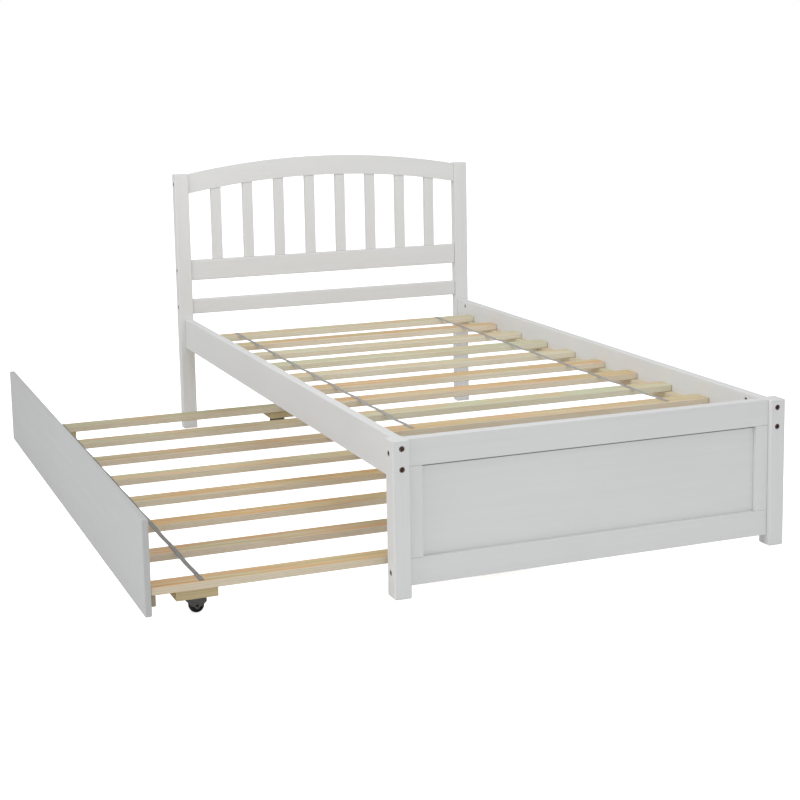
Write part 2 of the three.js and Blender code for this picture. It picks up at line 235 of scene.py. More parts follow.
# pine: a greenish and a reddish cast over a board's faces, how its rings run, and its knots
PINE_GREENISH = (0.90, 1.10, 1.12)
PINE_REDDISH = (1.08, 0.88, 0.74)
PITH_SPREAD = 0.05              # how far beside the board's middle the pith may run
PITH_BELOW = (0.05, 0.11)
RINGS_PER_METRE = (170, 260)
RING_WANDER = (0.016, 0.016, 0.016)
KNOT_BROWN = (0.40, 0.21, 0.08)
KNOT_HEART = (0.13, 0.06, 0.025)
KNOT_FREE_SHARE = 0.78          # the share of cells that have no knot
WEAVE = 3600.0                  # radians in a metre: threads of about 0.9 mm


def dimmed(colour, share):
    """A colour with all its channels lowered alike."""
    return tuple(share * channel for channel in colour)


def along_grain(axis, long_scale, cross_scale):
    """A texture scale that is low along the grain and high across it."""
    scale = [cross_scale] * 3
    scale[AXES[axis]] = long_scale
    return scale


def painted_wood(name, axis, tone=1.0, painted_shadow=None):
    """Satin white paint, a little grained along an axis; painted_shadow gives the heights over which a
    painted shadow sets in.
    """
    material, tree, shader = new_material(name, Specular_IOR_Level=0.45)
    place = object_place(tree)
    grain = noise(tree, scaled(tree, place, along_grain(axis, 2.2, 55)), detail=6.0, roughness=0.6)
    cloud = noise(tree, place, scale=3.1, detail=2.0)
    peel = noise(tree, place, scale=420.0, detail=2.0)
    fleck = spread(tree, noise(tree, place, scale=70.0, detail=4.0, roughness=0.7), 0.66, 0.74)
    blend = maths(tree, "ADD", maths(tree, "MULTIPLY", grain, 0.6), maths(tree, "MULTIPLY", cloud, 0.4))
    light, shade, speck = (dimmed(colour, tone) for colour in (PAINT, PAINT_SHADE, PAINT_SPECK))
    base = mixed(tree, spread(tree, blend, 0.35, 0.65), shade, light)
    shaded = mixed(tree, maths(tree, "MULTIPLY", fleck, 0.25), base, speck)
    # painted shadow: darker above the given heights, in place of the shade under the rail
    if painted_shadow is not None:
        height = add(tree, "SeparateXYZ", {"Vector": place}).outputs["Z"]
        shaded = mixed(tree, spread(tree, height, *painted_shadow, 0.0, PAINTED_SHADOW_DEPTH), shaded, PAINTED_SHADOW_COLOUR)
    tree.links.new(shaded, shader.inputs["Base Color"])
    tree.links.new(spread(tree, grain, 0.3, 0.7, 0.36, 0.50), shader.inputs["Roughness"])
    bumps(tree, shader, (grain, 0.0005, 0.35), (peel, 0.00012, 0.25))
    return material


def pine(name, board_box, seed, face, edge, axis):
    """Bare pine cut from round a pith that runs beside the board, so rings, faces and ends agree."""
    rng = random.Random(seed)
    low, high = board_box
    middle = (low + high) / 2
    across = [rng.uniform(-PITH_SPREAD, PITH_SPREAD) for _ in AXES]
    across[2] = -rng.uniform(*PITH_BELOW)
    across[AXES[axis]] = 0.0
    material, tree, shader = new_material(name, Specular_IOR_Level=0.3)
    place = object_place(tree)
    centred = add(tree, "VectorMath", {0: place, 1: tuple(-middle + Vector(across))}, operation="ADD")
    local = centred.outputs["Vector"]
    wander = add(tree, "TexNoise", {
        "Vector": scaled(tree, local, along_grain(axis, 1.3, 9), (seed, 0, 0)),
        "Scale": 1.0, "Detail": 2.0}).outputs["Color"]
    offset = add(tree, "VectorMath", {0: wander, 1: (0.5, 0.5, 0.5)}, operation="SUBTRACT")
    bent = add(tree, "VectorMath", {
        0: scaled(tree, local, along_grain(axis, 0.03, 1.0)),
        1: add(tree, "VectorMath", {0: offset.outputs["Vector"], 1: RING_WANDER},
               operation="MULTIPLY").outputs["Vector"]}, operation="ADD")
    radius = add(tree, "VectorMath", {0: bent.outputs["Vector"]}, operation="LENGTH").outputs["Value"]
    ring = maths(tree, "FRACT", maths(tree, "MULTIPLY", radius, rng.uniform(*RINGS_PER_METRE)))
    latewood = ramp(tree, ring, ((0.0, (0, 0, 0)), (0.55, (0.12,) * 3), (0.86, (0.9,) * 3),
                                 (0.93, (1, 1, 1)), (1.0, (0, 0, 0))))

    def grain(long_scale, cross_scale, shift, detail=2.0, roughness=0.5):
        """Noise stretched along the board, in a place of its own for each seed and shift."""
        stretched = scaled(tree, local, along_grain(axis, long_scale, cross_scale), (seed, *shift))
        return noise(tree, stretched, detail=detail, roughness=roughness)

    streak = grain(1.6, 75, (3, 1), detail=4.0, roughness=0.6)
    patch = grain(4.5, 20, (7, 4))
    fibre = grain(14, 900, (1, 2), roughness=0.6)
    normal = add(tree, "NewGeometry").outputs["Normal"]
    upright = add(tree, "SeparateXYZ", {"Vector": normal}).outputs["Z"]
    on_face = spread(tree, maths(tree, "ABSOLUTE", upright), 0.55, 0.95)
    hue = grain(7.0, 30, (5, 9))
    greenish = tuple(c * k for c, k in zip(face, PINE_GREENISH))
    reddish = tuple(c * k for c, k in zip(face, PINE_REDDISH))
    tinted = mixed(tree, spread(tree, hue, 0.38, 0.62), greenish, reddish)
    # wide faces take the face colour and the edges the paler edge colour: partly the wood's own, partly
    # painted light on the edges
    ground = mixed(tree, on_face, edge, tinted)
    warm = mixed(tree, spread(tree, patch, 0.45, 0.72, 0.0, 0.5), ground, face)
    late = mixed(tree, maths(tree, "MULTIPLY", latewood, 0.30), warm, dimmed(face, 0.55))
    pale = tuple(min(0.8, 1.12 * c) for c in edge)
    streaked = mixed(tree, spread(tree, streak, 0.38, 0.75, 0.0, 0.55), late, pale)
    fibred = mixed(tree, spread(tree, fibre, 0.35, 0.7, 0.0, 0.14), streaked, dimmed(face, 0.45))
    knotted = with_knots(tree, local, axis, seed, fibred)
    tree.links.new(knotted, shader.inputs["Base Color"])
    tree.links.new(spread(tree, fibre, 0.3, 0.7, 0.55, 0.75), shader.inputs["Roughness"])
    bumps(tree, shader, (latewood, 0.00018, 0.5), (fibre, 0.00015, 0.4))
    return material


def with_knots(tree, local, axis, seed, colour):
    """A few small knots: a dark heart in a brown ring, where a Voronoi cell is a rare one."""
    cells = add(tree, "TexVoronoi", {
        "Vector": scaled(tree, local, along_grain(axis, 3.2, 14), (seed * 1.7, 2, 5)), "Scale": 1.0})
    chance = add(tree, "SeparateColor", {"Color": cells.outputs["Color"]}).outputs["Red"]
    rare = maths(tree, "GREATER_THAN", chance, KNOT_FREE_SHARE)
    nearness = spread(tree, cells.outputs["Distance"], 0.05, 0.17, 1.0, 0.0)
    heart = spread(tree, cells.outputs["Distance"], 0.02, 0.08, 1.0, 0.0)
    ringed = mixed(tree, maths(tree, "MULTIPLY", maths(tree, "MULTIPLY", nearness, rare), 0.55),
                   colour, KNOT_BROWN)
    return mixed(tree, maths(tree, "MULTIPLY", maths(tree, "MULTIPLY", heart, rare), 0.8),
                 ringed, KNOT_HEART)


def webbing(name, tone):
    """Grey polyester webbing: a plain weave of about 0.9 mm, with a fuzzy sheen."""
    material, tree, shader = new_material(name, Roughness=0.85, Sheen_Weight=0.1)
    place = object_place(tree)
    parts = add(tree, "SeparateXYZ", {"Vector": place})
    warp = maths(tree, "SINE", maths(tree, "MULTIPLY", parts.outputs["X"], WEAVE))
    weft = maths(tree, "SINE", maths(tree, "MULTIPLY", parts.outputs["Y"], WEAVE))
    weave = maths(tree, "MULTIPLY", warp, weft)
    dirt = noise(tree, place, scale=40.0, detail=4.0)
    yarn = mixed(tree, spread(tree, weave, -1.0, 1.0), dimmed(tone, 0.65), tone)
    aged = mixed(tree, spread(tree, dirt, 0.4, 0.7, 0.0, 0.35), yarn, dimmed(tone, 0.55))
    tree.links.new(aged, shader.inputs["Base Color"])
    fuzz = noise(tree, place, scale=2500.0, detail=2.0)
    bumps(tree, shader, (weave, 0.0003, 0.8), (fuzz, 0.0001, 0.4))
    return material


def plastic(name, dark, light, low_gloss, high_gloss):
    """Moulded plastic: a fine spark-eroded surface, with scuffs that are a little lighter."""
    material, tree, shader = new_material(name)
    place = object_place(tree)
    grit = noise(tree, place, scale=1400.0, detail=2.0)
    rubbed = noise(tree, scaled(tree, place, (60, 60, 220)), detail=4.0, roughness=0.65)
    scuff = spread(tree, rubbed, 0.5, 0.75)
    tree.links.new(mixed(tree, scuff, dark, light), shader.inputs["Base Color"])
    tree.links.new(spread(tree, grit, 0.3, 0.7, low_gloss, high_gloss), shader.inputs["Roughness"])
    bumps(tree, shader, (grit, 0.00012, 0.5), (scuff, 0.00008, 0.4))
    return material


def metal(name, dark, light, low_gloss, high_gloss):
    """Plated metal with fine scratches and slightly worn, lighter patches."""
    material, tree, shader = new_material(name, Metallic=0.9)
    place = object_place(tree)
    wear = noise(tree, place, scale=420.0, detail=5.0, roughness=0.65)
    scratch = noise(tree, scaled(tree, place, (4000, 500, 900)), detail=2.0)
    tree.links.new(mixed(tree, spread(tree, wear, 0.45, 0.7), dark, light), shader.inputs["Base Color"])
    tree.links.new(spread(tree, scratch, 0.3, 0.7, low_gloss, high_gloss), shader.inputs["Roughness"])
    bumps(tree, shader, (scratch, 0.00004, 0.3), (wear, 0.00006, 0.3))
    return material


# ---- the CAD nodes' own surfaces ---------------------------------------------------------------
def finish_node(name, material, rounding):
    """Gives a CAD node its material and, by modifiers only, clean faces and rounded edges."""
    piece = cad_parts[name]
    mesh = piece.data
    if "custom_normal" in mesh.attributes:
        mesh.attributes.remove(mesh.attributes["custom_normal"])
    mesh.shade_smooth()
    mesh.materials.clear()
    mesh.materials.append(material)
    weld = piece.modifiers.new("weld", "WELD")
    weld.merge_threshold = WELD
    if not name.startswith(DRILLED):
        flat = piece.modifiers.new("flat", "DECIMATE")
        flat.decimate_type = "DISSOLVE"
        flat.angle_limit = FLAT_LIMIT
    edge = piece.modifiers.new("edge", "BEVEL")
    edge.width = rounding
    edge.segments = 3
    edge.limit_method = "ANGLE"
    edge.angle_limit = EDGE_LIMIT
    edge.harden_normals = True


def grain_axis(name):
    """The axis that a board is longest along."""
    low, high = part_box(name)
    size = high - low
    return "xyz"[max(range(3), key=lambda i: size[i])]


TONES = {
    # the wide faces, then the edges, which are paler on every board but the ledger and the rear rail; the
    # slats' paler edges are partly the wood's own, partly painted light
    "orange": ((0.72, 0.480, 0.240), (0.84, 0.740, 0.590)),
    "straw": ((0.75, 0.610, 0.390), (0.84, 0.770, 0.620)),
    "green": ((0.68, 0.600, 0.390), (0.80, 0.750, 0.590)),
    "deep_orange": ((0.68, 0.450, 0.210), (0.78, 0.680, 0.530)),
    "deep_straw": ((0.70, 0.560, 0.340), (0.78, 0.690, 0.550)),
    "brown": ((0.60, 0.430, 0.240), (0.76, 0.650, 0.510)),
    "drab": ((0.60, 0.500, 0.310), (0.72, 0.640, 0.500)),
    "block": ((0.47, 0.370, 0.200), (0.60, 0.500, 0.290)),
    # the ledger and the rear rail: pine darkened as painted shade for their place under the slat ends
    "ledger": ((0.40, 0.320, 0.230), (0.36, 0.300, 0.230)),
    "cleat": ((0.70, 0.580, 0.400), (0.74, 0.640, 0.470)),
}
BED_SLAT_TONES = ("orange", "green", "orange", "orange", "straw", "green", "straw", "orange", "straw")
TRUNDLE_SLAT_TONES = ("deep_orange", "brown", "deep_orange", "deep_orange", "deep_straw", "brown",
                      "drab", "drab")


def pine_tone(name):
    """Which colours a board has: the slats differ, as boards from several trees do."""
    kind, _, number = name.rpartition("_")
    if kind == "bed_slat":
        return TONES[BED_SLAT_TONES[int(number) - 1]]
    if kind == "trundle_slat":
        return TONES[TRUNDLE_SLAT_TONES[int(number) - 1]]
    if name.startswith("slat_cleat"):
        return TONES["cleat"]
    # every other pine board, the ledger and the rear rail, gets the tone darkened as painted shade
    return TONES["block" if name.startswith("caster_block") else "ledger"]


def finish_frame():
    """Paint or pine for every CAD node that isn't replaced by a piece made here."""
    paints = {axis: painted_wood("painted_wood_" + axis, axis) for axis in AXES}
    # the panel's greyer white is partly painted shade
    paints["panel"] = painted_wood("painted_panel", "y", PANEL_GREY_AND_SHADE)
    # a painted shadow on the foot panel just under the top rail, in place of the rail's own shade
    rail_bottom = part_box("foot_top_rail")[0].z
    painted_shadow = (rail_bottom - PAINTED_SHADOW_HEIGHT, rail_bottom - PAINTED_SHADOW_HEIGHT + PAINTED_SHADOW_FADE)
    paints["foot_panel"] = painted_wood("painted_foot_panel", "x", 1.0, painted_shadow)
    seed = 0
    for name in sorted(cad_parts):
        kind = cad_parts[name].data.materials[0].name
        if kind == "painted_wood":
            own = {"trundle_front_panel": "panel", "foot_panel": "foot_panel"}
            paint = paints[own.get(name) or grain_axis(name)]
            finish_node(name, paint, CORNER_ROUND)
        elif kind == "natural_pine":
            seed += 1
            face, edge = pine_tone(name)
            made = pine("pine_" + name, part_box(name), seed, face, edge, grain_axis(name))
            finish_node(name, made, PINE_ROUND)


# ---- mesh helpers --------------------------------------------------------------------------------
def as_piece(name, work, material, body):
    """A mesh from a bmesh, on a body, with its material."""
    bmesh.ops.recalc_face_normals(work, faces=work.faces)
    mesh = bpy.data.meshes.new(name)
    work.to_mesh(mesh)
    work.free()
    mesh.materials.append(material)
    piece = bpy.data.objects.new(name, mesh)
    bpy.context.scene.collection.objects.link(piece)
    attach(piece, body)
    return piece


def smooth_by_angle(piece, limit=30):
    """Smooth shading, broken at edges sharper than the limit in degrees."""
    mesh = piece.data
    mesh.shade_smooth()
    mesh.set_sharp_from_angle(angle=math.radians(limit))


def facing(at, normal):
    """A matrix that puts a piece's local Z along a normal at a place."""
    turn = Vector(normal).to_track_quat("Z", "Y").to_matrix().to_4x4()
    return Matrix.Translation(at) @ turn


def rings_of(work, rings, matrix):
    """Joins rings of points, each ring the same length, into one strip of faces."""
    loops = [[work.verts.new(matrix @ Vector(point)) for point in ring] for ring in rings]
    for first, second in zip(loops, loops[1:]):
        count = len(first)
        for i in range(count):
            j = (i + 1) % count
            work.faces.new((first[i], first[j], second[j], second[i]))
    return loops


def circle(radius, z, count):
    """Points round the local Z axis at one height."""
    angles = (2 * math.pi * i / count for i in range(count))
    return [(radius * math.cos(a), radius * math.sin(a), z) for a in angles]


def lofted(work, rings, matrix):
    """A closed solid through rings of points, capped at both ends."""
    loops = rings_of(work, rings, matrix)
    work.faces.new(list(reversed(loops[0])))
    work.faces.new(loops[-1])


def turned(work, profile, matrix, count=24):
    """A closed turned solid from (radius, height) points."""
    lofted(work, [circle(r, z, count) for r, z in profile], matrix)


# ---- bolts and nuts ------------------------------------------------------------------------------
def hexagon_socket_head(work, at, normal):
    """A bolt head at the bottom of its recess, with a chamfered rim and a hexagon socket."""
    matrix = facing(Vector(at) - BOLT["below"] * Vector(normal), normal)
    r, depth, socket = BOLT["radius"], BOLT["depth"], BOLT["socket"]
    outline = [(r * 0.98, -depth), (r, -depth * 0.9), (r, -BOLT["rim"]),
               (r * 0.95, -BOLT["chamfer"]), (r * 0.86, 0.0)]
    hollow = [(socket * 1.12, 0.0), (socket, -BOLT["lip"]), (socket, -depth * 0.6)]
    rings = [circle(radius, z, BOLT["sides"]) for radius, z in outline]
    rings += [hexagon(radius, z, BOLT["sides"]) for radius, z in hollow]
    lofted(work, rings, matrix)


def hexagon(radius, z, count):
    """Points on a hexagon whose corners are radius away, at even angles."""
    points = []
    for i in range(count):
        angle = 2 * math.pi * i / count
        within = (angle % (math.pi / 3)) - math.pi / 6
        reach = radius * math.cos(math.pi / 6) / math.cos(within)
        points.append((reach * math.cos(angle), reach * math.sin(angle), z))
    return points


def post_bolts(post, heights, y_middle, outward_y, material):
    """Bolt heads in one post: two along the bed into the side rail, and some from the side."""
    low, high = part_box(post)
    outer_x, side = (low.x, -1) if post.endswith("left") else (high.x, 1)
    end_y = low.y if outward_y < 0 else high.y
    work = bmesh.new()
    for z in BOLT_HEIGHTS:
        hexagon_socket_head(work, (outer_x - side * BOLT_INSET, end_y, z), (0, outward_y, 0))
    for z in heights:
        hexagon_socket_head(work, (outer_x, y_middle, z), (side, 0, 0))
    piece = as_piece(post + "_bolts", work, material, "bed")
    smooth_by_angle(piece)


def barrel_nuts(rail, material):
    """Slotted barrel nuts in the side rail's inner face."""
    low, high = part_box(rail)
    side = -1 if rail.endswith("left") else 1
    face_x = high.x if side < 0 else low.x
    work = bmesh.new()
    for y in (low.y + NUT["setback"], high.y - NUT["setback"]):
        for z in BOLT_HEIGHTS:
            matrix = facing((face_x + side * NUT["below"], y, z), (-side, 0, 0))
            slotted_disc(work, matrix)
    piece = as_piece(rail + "_barrel_nuts", work, material, "bed")
    smooth_by_angle(piece)


def slotted_disc(work, matrix):
    """A round end face with a chamfered rim, and a straight slot between two low ridges."""
    r = NUT["radius"]
    turned(work, [(r, -NUT["depth"]), (r, -NUT["rim"]), (r * 0.9, -NUT["chamfer"]), (r * 0.9, 0.0)], matrix)
    half_length = r * 0.7
    for side in (-1, 1):
        x0 = side * NUT["ridge_off"] - NUT["ridge_width"] / 2
        x1 = side * NUT["ridge_off"] + NUT["ridge_width"] / 2
        corners = [(x0, -half_length), (x1, -half_length), (x1, half_length), (x0, half_length)]
        lofted(work, [[(x, y, z) for x, y in corners] for z in (0.0, NUT["ridge_height"])], matrix)


# ---- webbing and staples -------------------------------------------------------------------------
def slat_boxes(prefix):
    """The boxes of a row of slats, in the order of their numbers."""
    names = sorted((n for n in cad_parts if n.startswith(prefix)),
                   key=lambda n: int(n.rsplit("_", 1)[1]))
    return [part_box(n) for n in names]


def strap_drop(y, slats):
    """How far the strap hangs below its height on the slats: a shallow curve in each gap."""
    for (_, end), (start, _) in zip(slats, slats[1:]):
        if end.y < y < start.y:
            share = (y - end.y) / (start.y - end.y)
            return STRAP["sag"] * math.sin(math.pi * share) ** 2
    return 0.0


def strap(name, slat_prefix, body, material):
    """A webbing strap over a row of slats: ridged along its length, rounded at its edges."""
    low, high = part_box(name)
    slats = slat_boxes(slat_prefix)
    half = (high.x - low.x) / 2
    middle = (high.x + low.x) / 2
    thickness = high.z - low.z
    steps = round((high.y - low.y) / STRAP["step"])
    across = 4 * STRAP["ridges"]
    edge_height = thickness * STRAP["edge"]
    rings = []
    for i in range(steps + 1):
        y = low.y + (high.y - low.y) * i / steps
        drop = strap_drop(y, slats)
        top, bottom = [], []
        for j in range(across + 1):
            share = 2 * j / across - 1
            edge = math.sqrt(max(0.0, 1 - share ** STRAP_SQUARENESS))
            ridge = STRAP["ridge"] * abs(math.cos(STRAP["ridges"] * math.pi * (share + 1) / 2))
            height = edge_height + thickness * STRAP["crown"] * edge + ridge - drop
            top.append((middle + share * half, y, low.z + height))
            bottom.append((middle + share * half, y, low.z + edge_height * (1 - edge) - drop))
        rings.append(top + list(reversed(bottom)))
    work = bmesh.new()
    lofted(work, rings, Matrix.Identity(4))
    piece = as_piece(name + "_webbing", work, material, body)
    smooth_by_angle(piece, 50)
    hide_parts(name)


def staples(strap_name, slat_prefix, body, material):
    """Two staples hold the strap to each slat: a round wire crown with its two legs driven in."""
    low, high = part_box(strap_name)
    middle = (low.x + high.x) / 2
    work = bmesh.new()
    for slat_low, slat_high in slat_boxes(slat_prefix):
        centre_y = (slat_low.y + slat_high.y) / 2
        for offset in (-STAPLE["off"], STAPLE["off"]):
            staple(work, (middle, centre_y + offset, high.z))
    piece = as_piece(strap_name + "_staples", work, material, body)
    smooth_by_angle(piece, 60)


def staple(work, at):
    """A wire along X: up out of the strap, over it, and down again."""
    half = STAPLE["crown"] / 2
    wire = STAPLE["wire"]
    route = [(-half, 0, -STAPLE["leg"]), (-half, 0, -wire), (-half + wire, 0, wire * 0.7),
             (half - wire, 0, wire * 0.7), (half, 0, -wire), (half, 0, -STAPLE["leg"])]
    rings = []
    for i, point in enumerate(route):
        before = Vector(route[max(i - 1, 0)])
        after = Vector(route[min(i + 1, len(route) - 1)])
        turn = (after - before).to_track_quat("Z", "Y")
        rings.append([Vector(point) + turn @ Vector(p) for p in circle(wire, 0, STAPLE["sides"])])
    lofted(work, rings, Matrix.Translation(at))


# ---- casters ---------------------------------------------------------------------------------------
def wheel(corner, material, hub_material):
    """A moulded wheel: rounded tread with a parting line, a sunk web with ribs, and a hub."""
    low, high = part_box("caster_wheel_" + corner)
    centre = (low + high) / 2
    axle = Matrix.Translation(centre) @ Matrix.Rotation(math.pi / 2, 4, "X")
    r, w, hub, rim = WHEEL["radius"], WHEEL["half_width"], WHEEL["hub"], WHEEL["rim"]
    # from the bore over the hub, the sunk web, the rim and the tread, to the parting line
    side = [(AXLE_RADIUS + BORE_PLAY, w * 0.98), (hub - 0.0008, w * 0.98), (hub - 0.0002, w * 0.90),
            (hub, w * 0.45), (rim, w * 0.42), (rim + 0.0006, w * 0.88), (rim + 0.0011, w * 0.94),
            (r - 0.0022, w * 0.94), (r - 0.0008, w * 0.80), (r - 0.0001, w * 0.50),
            (r, w * 0.12), (r, w * 0.04), (r - 0.00025, 0.0)]
    profile = side + [(radius, -z) for radius, z in reversed(side[:-1])]
    work = bmesh.new()
    closed = [circle(radius, z, WHEEL["sides"]) for radius, z in profile]
    loops = rings_of(work, closed, axle)
    for i in range(WHEEL["sides"]):
        j = (i + 1) % WHEEL["sides"]
        work.faces.new((loops[-1][i], loops[-1][j], loops[0][j], loops[0][i]))
    for face_side in (-1, 1):
        for k in range(RIB["count"]):
            rib(work, axle, 2 * math.pi * k / RIB["count"], face_side)
    piece = as_piece("caster_wheel_moulded_" + corner, work, material, "wheel_" + corner)
    smooth_by_angle(piece, 35)
    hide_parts("caster_wheel_" + corner)
    hub_washers(corner, centre, (high.y - low.y) / 2, hub_material)


def hub_washers(corner, centre, half_width, material):
    """A thin chamfered washer on each side of the wheel's hub."""
    r, rise = WASHER["radius"], WASHER["rise"]
    profile = [(r, -WASHER["thickness"]), (r, 0.0), (r - WASHER["chamfer"], rise),
               (AXLE_RADIUS + rise, rise)]
    work = bmesh.new()
    for sign in (-1, 1):
        place = centre + Vector((0, sign * half_width * WASHER["place"], 0))
        turned(work, profile, facing(place, (0, sign, 0)))
    as_piece("caster_hub_washers_" + corner, work, material, "wheel_" + corner)


def rib(work, axle, angle, face_side):
    """One rib between the hub and the rim, standing on the web."""
    inner, outer, half = RIB["inner"], RIB["outer"], RIB["half"]
    turn = axle @ Matrix.Rotation(angle, 4, "Z")
    corners = [(inner, -half), (outer, -half), (outer, half), (inner, half)]
    heights = [face_side * WHEEL["half_width"] * share for share in (RIB["foot"], RIB["top"])]
    lofted(work, [[(x, y, z) for x, y in corners] for z in heights], turn)


def rounded_rectangle(half_x, half_y, radius, z, arc_steps=5):
    """Points of a rectangle with round corners at one height."""
    points = []
    for sx, sy, start in ((1, 1, 0), (-1, 1, 90), (-1, -1, 180), (1, -1, 270)):
        for k in range(arc_steps + 1):
            a = math.radians(start + 90 * k / arc_steps)
            points.append((sx * (half_x - radius) + radius * math.cos(a),
                           sy * (half_y - radius) + radius * math.sin(a), z))
    return points


def housing(corner, material, steel):
    """A fixed caster's housing: a screwed plate, two cheeks and a riveted axle."""
    low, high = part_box("caster_housing_" + corner)
    wheel_low, wheel_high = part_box("caster_wheel_" + corner)
    middle = (wheel_low + wheel_high) / 2
    plate_middle = (low + high) / 2
    half_x, half_y = (high.x - low.x) / 2, (high.y - low.y) / 2
    plate, ease = HOUSING["plate"], HOUSING["ease"]
    plate_bottom = high.z - plate
    work = bmesh.new()
    sections = [rounded_rectangle(half_x - inset, half_y - inset, HOUSING["corner"], high.z - drop)
                for inset, drop in ((ease, 0.0), (0.0, ease), (0.0, plate - ease), (ease, plate))]
    lofted(work, sections, Matrix.Translation((middle.x, plate_middle.y, 0)))
    gap = (wheel_high.y - wheel_low.y) / 2 + HOUSING["play"]
    for sign in (-1, 1):
        cheek(work, middle, sign, gap, half_x, plate_bottom)
    piece = as_piece("caster_housing_moulded_" + corner, work, material, "trundle")
    smooth_by_angle(piece, 35)
    edge = piece.modifiers.new("edge", "BEVEL")
    edge.width = MOULDED_ROUND
    edge.segments = 2
    edge.limit_method = "ANGLE"
    edge.angle_limit = EDGE_LIMIT
    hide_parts("caster_housing_" + corner)
    pins = bmesh.new()
    turned(pins, riveted_axle(gap + HOUSING["boss"]), facing(middle, (0, 1, 0)))
    for x in (-1, 1):
        for y in (-1, 1):
            place = Vector((middle.x + x * (half_x - HOUSING["screw_inset"]),
                            plate_middle.y + y * (half_y - HOUSING["screw_inset"]), plate_bottom))
            pan_head(pins, place, (0, 0, -1))
    as_piece("caster_axle_and_screws_" + corner, pins, steel, "trundle")


def riveted_axle(reach):
    """The profile of a pin with a flattened head at each end, reach from its middle."""
    head = [(RIVET["flat"], reach), (RIVET["radius"], reach - RIVET["chamfer"]),
            (RIVET["radius"], reach - RIVET["height"]), (AXLE_RADIUS, reach - RIVET["neck"])]
    return [(radius, -z) for radius, z in head] + list(reversed(head))


def cheek(work, middle, sign, gap, half_x, top):
    """One wall beside the wheel, wide at the plate and rounded under the axle, with a raised middle."""
    outline = [(-CHEEK["half"], 0.0)]
    for k in range(CHEEK["steps"] + 1):
        angle = math.pi + math.pi * k / CHEEK["steps"]
        outline.append((CHEEK["toe"] * math.cos(angle),
                        CHEEK["toe"] - CHEEK["drop"] + CHEEK["toe"] * math.sin(angle)))
    wide = half_x - CHEEK["margin"]
    outline += [(CHEEK["half"], 0.0), (wide, CHEEK["taper"]), (wide, top - middle.z),
                (-wide, top - middle.z), (-wide, CHEEK["taper"])]
    centre_z = (top - middle.z) * HOUSING["boss_height"]
    layers = ((1.0, 0.0, HOUSING["cheek"]), (HOUSING["boss_share"], HOUSING["cheek"], HOUSING["boss"]))
    for inset, start, end in layers:
        faces = (middle.y + sign * (gap + start), middle.y + sign * (gap + end))
        rings = [[(middle.x + x * inset, y, middle.z + centre_z + (z - centre_z) * inset)
                  for x, z in outline] for y in faces]
        lofted(work, rings, Matrix.Identity(4))


def pan_head(work, at, normal):
    """A round screw head that stands on a face."""
    r, depth = SCREW["radius"], SCREW["depth"]
    turned(work, [(r, 0.0), (r, depth * 0.4), (r * 0.8, depth * 0.85), (r * 0.45, depth)],
           facing(at, normal), SCREW["sides"])


# ---- screws ------------------------------------------------------------------------------------------
def countersunk(work, at, normal):
    """A flat screw head set flush, with a cross recess."""
    r, sides = SCREW["radius"], SCREW["sides"]
    rings = [circle(radius, z, sides) for radius, z in (
        (r * 0.5, -COUNTERSUNK["shank"]), (r, -COUNTERSUNK["under"]), (r, COUNTERSUNK["proud"]))]
    for reach, z in ((r * 0.62, COUNTERSUNK["proud"]), (r * 0.5, -COUNTERSUNK["cross"])):
        rings.append(cross(reach, z, sides))
    lofted(work, rings, facing(at, normal))


def cross(reach, z, count):
    """Points of a four-armed cross, at even angles: every fourth is an arm's tip."""
    points = []
    for i in range(count):
        angle = 2 * math.pi * i / count
        out = reach if i % 4 == 0 else reach * COUNTERSUNK["notch"]
        points.append((out * math.cos(angle), out * math.sin(angle), z))
    return points


def slat_screws(steel):
    """Screws through the trundle's slats, at both ends, into the ledger and the rear rail."""
    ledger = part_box("trundle_ledger")
    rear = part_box("trundle_rear_rail")
    work = bmesh.new()
    for low, high in slat_boxes("trundle_slat_"):
        for rail in (ledger, rear):
            x = (rail[0].x + rail[1].x) / 2
            for share in SLAT_SCREW_SHARES:
                countersunk(work, (x, low.y + (high.y - low.y) * share, high.z), (0, 0, 1))
    smooth_by_angle(as_piece("trundle_slat_screws", work, steel, "trundle"))


def block_screws(steel):
    """Screws up through each caster block into its slat, outside the caster's plate."""
    work = bmesh.new()
    for corner in CORNERS:
        low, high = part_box("caster_block_" + corner)
        for x in (low.x + BLOCK_SCREW["end"], high.x - BLOCK_SCREW["end"]):
            countersunk(work, (x, low.y + BLOCK_SCREW["front"], low.z), (0, 0, -1))
    smooth_by_angle(as_piece("caster_block_screws", work, steel, "trundle"))


def cleat_screws(steel):
    """Round heads along each cleat's inner face, which hold it to the side rail."""
    work = bmesh.new()
    for side, label in ((-1, "left"), (1, "right")):
        low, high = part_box("slat_cleat_" + label)
        face_x = high.x if side < 0 else low.x
        for i in range(CLEAT_SCREWS):
            y = low.y + (high.y - low.y) * (i + 0.5) / CLEAT_SCREWS
            pan_head(work, (face_x, y, (low.z + high.z) / 2), (-side, 0, 0))
    smooth_by_angle(as_piece("slat_cleat_screws", work, steel, "bed"))


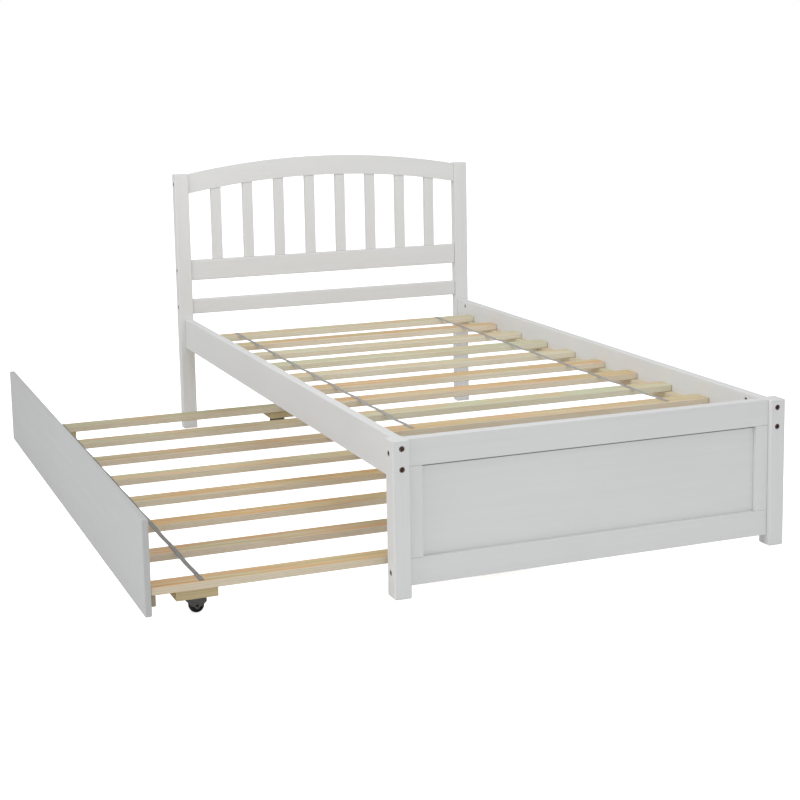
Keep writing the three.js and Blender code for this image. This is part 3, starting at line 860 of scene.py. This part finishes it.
# ---- camera, floor and lights ------------------------------------------------------------------------
def set_camera():
    """A camera at CAMERA_PLACE, turned by its azimuth, pitch and roll."""
    azimuth = math.radians(CAMERA_AZIMUTH)
    pitch = math.radians(CAMERA_PITCH)
    back = Vector((math.sin(azimuth) * math.cos(pitch), -math.cos(azimuth) * math.cos(pitch),
                   math.sin(pitch)))
    right = Vector((0, 0, 1)).cross(back).normalized()
    up = back.cross(right)
    level = Matrix((right, up, back)).transposed().to_4x4()
    data = bpy.data.cameras.new("camera")
    data.lens = CAMERA_LENS
    data.shift_x, data.shift_y = CAMERA_SHIFT
    camera = bpy.data.objects.new("camera", data)
    roll = Matrix.Rotation(math.radians(CAMERA_ROLL), 4, "Z")
    camera.matrix_world = Matrix.Translation(CAMERA_PLACE) @ level @ roll
    bpy.context.scene.collection.objects.link(camera)
    bpy.context.scene.camera = camera


def set_world():
    """Plain white where the camera sees it, and a softer white light on the bed."""
    world = bpy.data.worlds.new("studio")
    world.use_nodes = True
    sky = world.node_tree
    seen = add(sky, "LightPath").outputs["Is Camera Ray"]
    background = sky.nodes["Background"]
    background.inputs["Color"].default_value = (1, 1, 1, 1)
    sky.links.new(spread(sky, seen, 0.0, 1.0, WORLD_STRENGTH, 1.0), background.inputs["Strength"])
    bpy.context.scene.world = world


def set_floor():
    """A pale floor that glows where the camera sees it."""
    material, tree, shader = new_material("studio_floor", Roughness=0.9, Specular_IOR_Level=0.1)
    mottle = noise(tree, object_place(tree), scale=0.7, detail=2.0)
    tree.links.new(mixed(tree, mottle, *FLOOR_WHITES), shader.inputs["Base Color"])
    shader.inputs["Emission Color"].default_value = (1, 1, 1, 1)
    glow = add(tree, "LightPath").outputs["Is Camera Ray"]
    tree.links.new(maths(tree, "MULTIPLY", glow, FLOOR_GLOW), shader.inputs["Emission Strength"])
    work = bmesh.new()
    bmesh.ops.create_grid(work, x_segments=1, y_segments=1, size=FLOOR_SIZE / 2)
    mesh = bpy.data.meshes.new("studio_floor")
    work.to_mesh(mesh)
    work.free()
    mesh.materials.append(material)
    floor = bpy.data.objects.new("studio_floor", mesh)
    floor.location.z = -FLOOR_BELOW
    bpy.context.scene.collection.objects.link(floor)


def set_lights():
    """Soft rectangular lights, each pointed at its target."""
    for name, place, target, width, length, watts in LIGHTS:
        data = bpy.data.lights.new(name, "AREA")
        data.shape = "RECTANGLE"
        data.size, data.size_y = width, length
        data.energy = watts
        light = bpy.data.objects.new(name, data)
        light.location = place
        light.rotation_mode = "QUATERNION"
        light.rotation_quaternion = (Vector(target) - Vector(place)).to_track_quat("-Z", "Y")
        bpy.context.scene.collection.objects.link(light)


# ---- the whole scene -----------------------------------------------------------------------------------
bpy.context.scene.view_settings.view_transform = "Standard"
set_camera()
set_world()
set_floor()
set_lights()
finish_frame()

bronze = metal("bolt_bronze_aged", (0.06, 0.036, 0.032), (0.32, 0.20, 0.16), 0.16, 0.36)
steel = metal("zinc_steel", (0.42, 0.42, 0.41), (0.66, 0.66, 0.63), 0.25, 0.50)
grey_plastic = plastic("caster_plastic_grey", (0.085, 0.086, 0.09), (0.15, 0.151, 0.155), 0.34, 0.55)
black_plastic = plastic("wheel_tread_black", (0.010, 0.010, 0.011), (0.035, 0.035, 0.035), 0.40, 0.62)
bed_cloth = webbing("strap_webbing_bed", (0.52, 0.51, 0.49))
trundle_cloth = webbing("strap_webbing_trundle", (0.36, 0.36, 0.345))

foot_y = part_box("foot_post_left")[0].y + FOOT_BOARD_MIDDLE
head_low, head_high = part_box("head_post_left")
head_y = (head_low.y + head_high.y) / 2
for label in ("left", "right"):
    post_bolts("foot_post_" + label, FOOT_RAIL_BOLTS, foot_y, -1, bronze)
    post_bolts("head_post_" + label, HEAD_RAIL_BOLTS, head_y, 1, bronze)
    barrel_nuts("side_rail_" + label, bronze)
    strap("bed_strap_" + label, "bed_slat_", "bed", bed_cloth)
    strap("trundle_strap_" + label, "trundle_slat_", "trundle", trundle_cloth)
    staples("bed_strap_" + label, "bed_slat_", "bed", steel)
    staples("trundle_strap_" + label, "trundle_slat_", "trundle", steel)
for corner_name in CORNERS:
    wheel(corner_name, black_plastic, steel)
    housing(corner_name, grey_plastic, steel)
slat_screws(steel)
block_screws(steel)
cleat_screws(steel)
